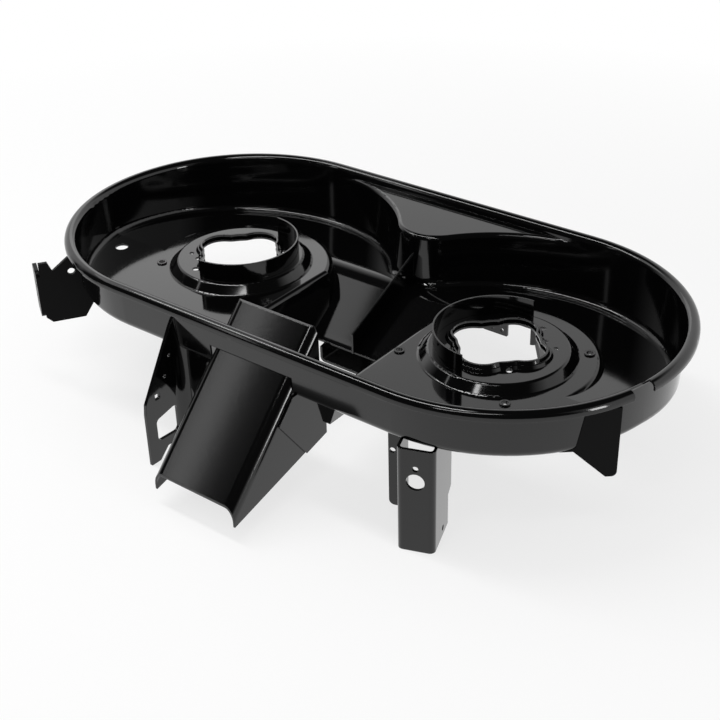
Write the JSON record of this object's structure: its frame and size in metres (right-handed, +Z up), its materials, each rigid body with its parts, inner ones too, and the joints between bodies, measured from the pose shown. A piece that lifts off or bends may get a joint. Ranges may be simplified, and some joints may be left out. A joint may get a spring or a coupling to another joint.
{
  "type": "lawn mower deck",
  "caption": "Bare pressed steel cutting deck for a ride-on mower, lying mouth up, with twin blade chambers, lobed spindle openings, centre duct and discharge ramp",
  "frame": {"origin": "on the floor under the middle of the deck's bounding box, the deck lying mouth up on its legs", "axes": "+X along the deck from the left chamber to the right one, -Y towards the discharge ramp, +Z up out of the deck's mouth"},
  "size_m": [0.9889, 0.628, 0.235],
  "materials": {
    "black_paint": "gloss"
  },
  "bodies": {
    "root": {"deck_shell": "black_paint", "left_collar": "black_paint", "right_collar": "black_paint", "centre_baffle": "black_paint", "chute_ramp": "black_paint", "left_chute_cheek": "black_paint", "right_chute_cheek": "black_paint", "channel_saddle": "black_paint", "front_post": "black_paint", "chute_side_bracket": "black_paint", "left_hanger": "black_paint", "right_hanger": "black_paint", "left_wheel_bracket": "black_paint", "right_wheel_bracket": "black_paint"}
  },
  "joints": []
}
